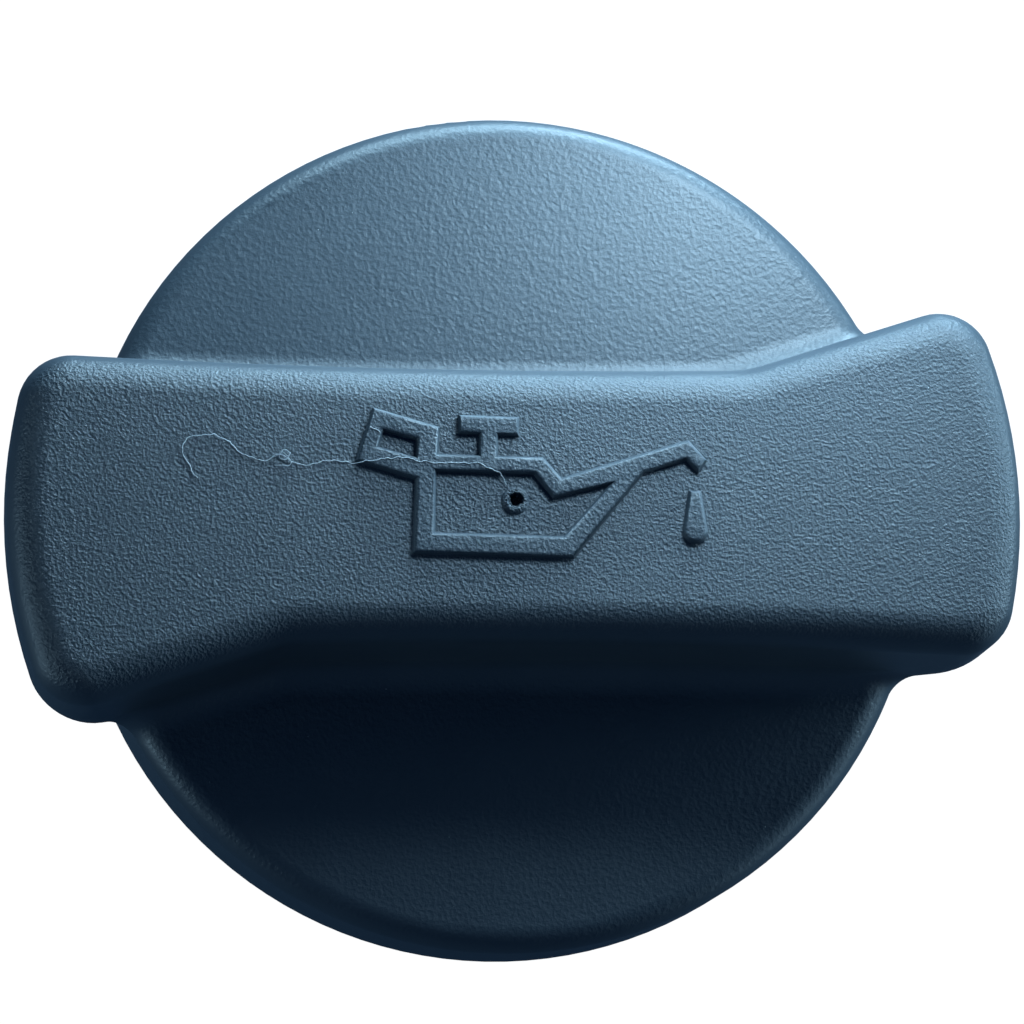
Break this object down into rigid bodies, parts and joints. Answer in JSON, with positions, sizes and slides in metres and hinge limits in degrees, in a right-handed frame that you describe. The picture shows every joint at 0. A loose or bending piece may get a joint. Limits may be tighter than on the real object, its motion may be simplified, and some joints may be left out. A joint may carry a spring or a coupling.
{
  "type": "oil filler cap",
  "caption": "Round quarter-turn oil filler cap with an S-shaped grip bar, a bayonet stub and a rubber sealing ring.",
  "frame": {"origin": "on the cap's axis, in the plane of the sealing ring's face, where it meets the filler neck", "axes": "+Z out of the engine towards the grip, +X along the grip bar"},
  "size_m": [0.0762, 0.0656, 0.0405],
  "materials": {
    "grip_plastic": "black glass-filled nylon with a fine moulded grain",
    "stub_plastic": "black glass-filled nylon, satin as moulded",
    "seal_rubber": "black oil-resistant rubber, dull"
  },
  "bodies": {
    "root": {"grip_cover": "grip_plastic", "bayonet_stub": "stub_plastic", "sealing_ring": "seal_rubber"}
  },
  "joints": []
}
